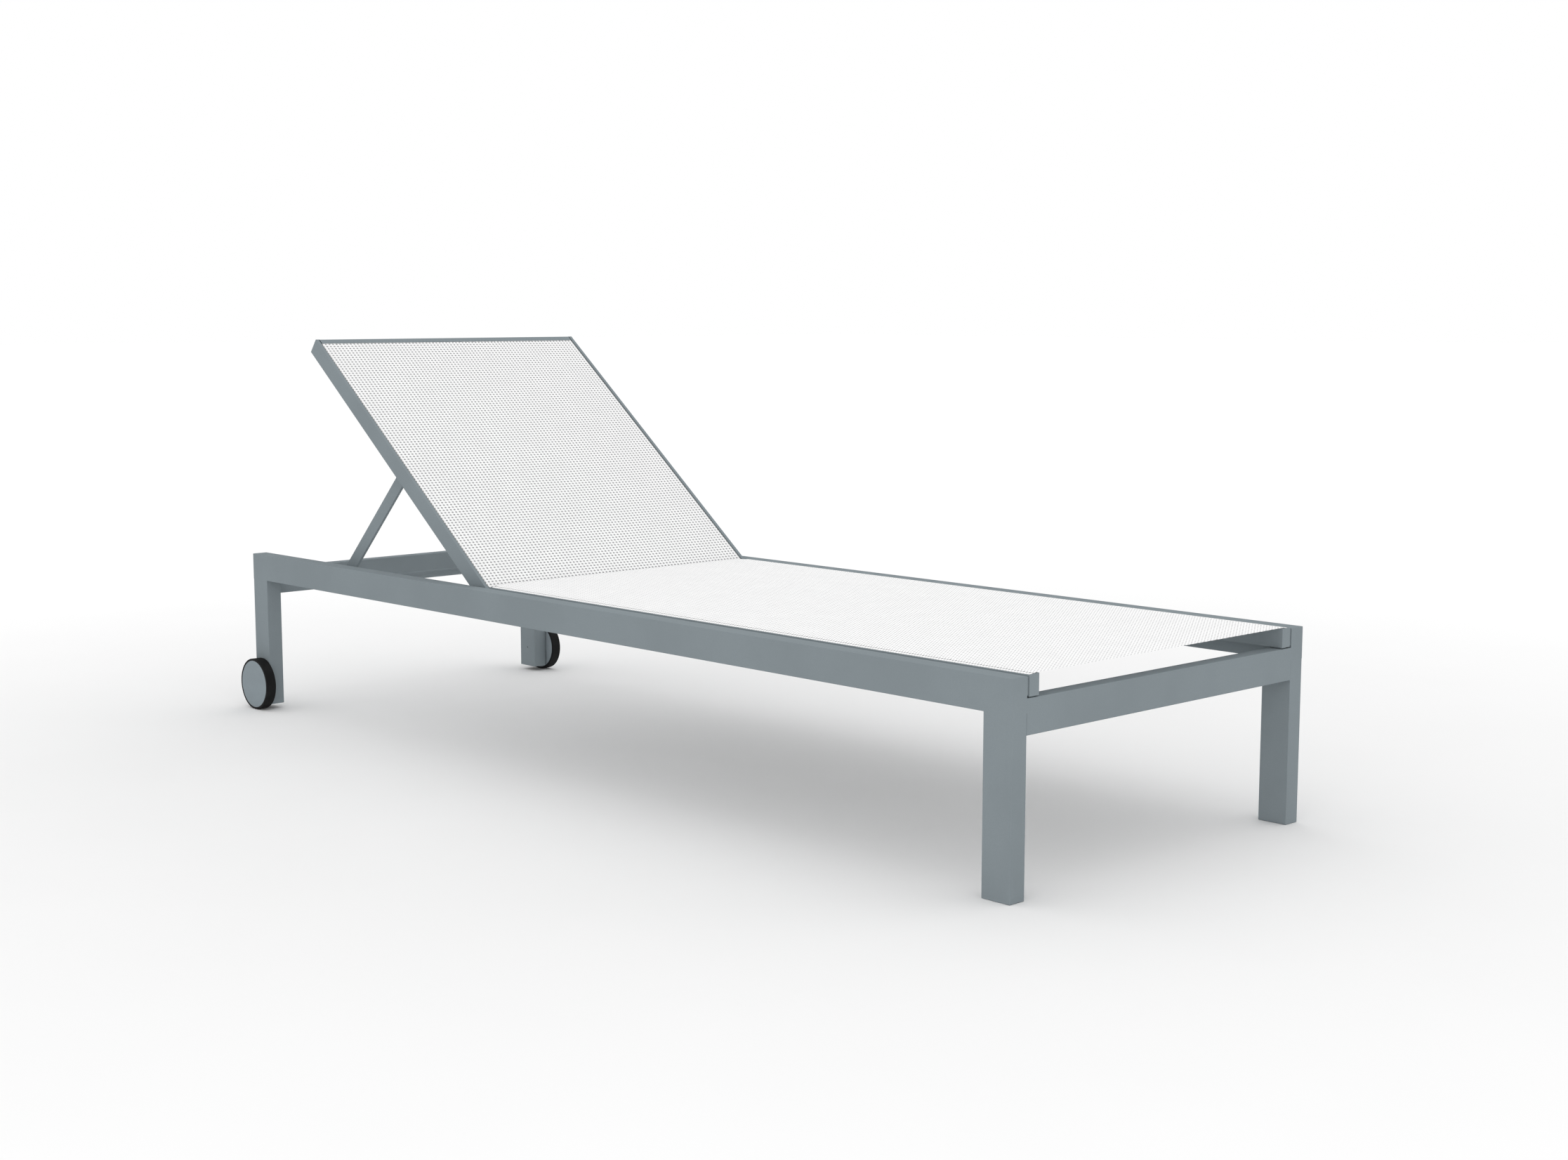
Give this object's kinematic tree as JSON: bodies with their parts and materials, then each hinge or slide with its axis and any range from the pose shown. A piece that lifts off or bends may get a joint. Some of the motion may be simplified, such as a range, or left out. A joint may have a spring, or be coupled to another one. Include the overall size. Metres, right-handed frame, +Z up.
{
  "type": "reclining sun lounger",
  "caption": "Reclining sun lounger: tube frame with woven mesh seat and backrest slings, a backrest that tilts on a notched prop, and wheels at the head end.",
  "frame": {"origin": "on the floor, under the middle of the overall box", "axes": "+X towards the feet, +Y towards the sitter's left, +Z up"},
  "size_m": [1.985, 0.717, 0.7257],
  "materials": {
    "frame_paint": "matte",
    "sling_mesh": "matte",
    "tyre_rubber": "matte",
    "hub_cap": "satin",
    "wheel_plastic": "satin",
    "glide_plastic": "matte",
    "black_nylon": "matte",
    "spline_plastic": "matte",
    "zinc_steel": "satin"
  },
  "bodies": {
    "base": {"axle_retainers": "zinc_steel", "axle_screws": "frame_paint", "foot_cross_rail": "frame_paint", "foot_glide_left": "glide_plastic", "foot_glide_right": "glide_plastic", "foot_leg_left": "frame_paint", "foot_leg_right": "frame_paint", "head_cross_rail": "frame_paint", "head_leg_left": "frame_paint", "head_leg_plugs": "black_nylon", "head_leg_right": "frame_paint", "hinge_bolts": "zinc_steel", "hinge_nuts": "zinc_steel", "hinge_washers": "black_nylon", "prop_rack_left": "frame_paint", "prop_rack_right": "frame_paint", "rack_screws": "zinc_steel", "rail_end_plates": "frame_paint", "seat_rail_bolts": "zinc_steel", "seat_rail_caps": "frame_paint", "seat_rail_left": "frame_paint", "seat_rail_nuts": "zinc_steel", "seat_rail_pads": "frame_paint", "seat_rail_right": "frame_paint", "seat_rail_spacers": "glide_plastic", "seat_sling": "sling_mesh", "seat_sling_splines": "spline_plastic", "seat_spreader_front": "frame_paint", "seat_spreader_middle": "frame_paint", "seat_spreader_rear": "frame_paint", "side_rail_left": "frame_paint", "side_rail_right": "frame_paint", "wheel_axle_left": "zinc_steel", "wheel_axle_right": "zinc_steel"},
    "back": {"back_bar_left": "frame_paint", "back_bar_right": "frame_paint", "pivot_block_left": "frame_paint", "pivot_block_right": "frame_paint", "back_sling": "sling_mesh", "back_top_bar": "frame_paint", "back_spreader": "frame_paint", "pivot_bushes": "black_nylon", "back_bar_caps": "frame_paint", "back_sling_splines": "spline_plastic", "prop_bolts": "zinc_steel", "prop_washers": "black_nylon", "prop_nuts": "zinc_steel"},
    "prop": {"prop_arm_left": "frame_paint", "prop_arm_right": "frame_paint", "prop_rod": "frame_paint", "prop_rod_caps": "black_nylon"},
    "wheel_left": {"tyre_left": "tyre_rubber", "wheel_hub_left": "wheel_plastic", "hub_cap_left": "hub_cap", "wheel_bush_left": "black_nylon"},
    "wheel_right": {"tyre_right": "tyre_rubber", "wheel_hub_right": "wheel_plastic", "hub_cap_right": "hub_cap", "wheel_bush_right": "black_nylon"}
  },
  "joints": [
    {"name": "back_recline", "type": "hinge", "parent": "base", "child": "back", "pos_m": [-0.2385, 0, 0.29], "axis": [0, 1, 0], "range_deg": [-38.2, 11.8]},
    {"name": "prop_swing", "type": "hinge", "parent": "back", "child": "prop", "pos_m": [-0.50438, 0, 0.49223], "axis": [0, 1, 0], "range_deg": [-24.9, 80.3]},
    {"name": "wheel_left_spin", "type": "hinge", "parent": "base", "child": "wheel_left", "pos_m": [-0.9425, 0.3485, 0.05], "axis": [0, 1, 0], "continuous": true},
    {"name": "wheel_right_spin", "type": "hinge", "parent": "base", "child": "wheel_right", "pos_m": [-0.9425, -0.3485, 0.05], "axis": [0, 1, 0], "continuous": true}
  ],
  "couplings": [
    {"joint": "prop_swing", "follows": "back_recline", "ratio": -2.0978}
  ]
}
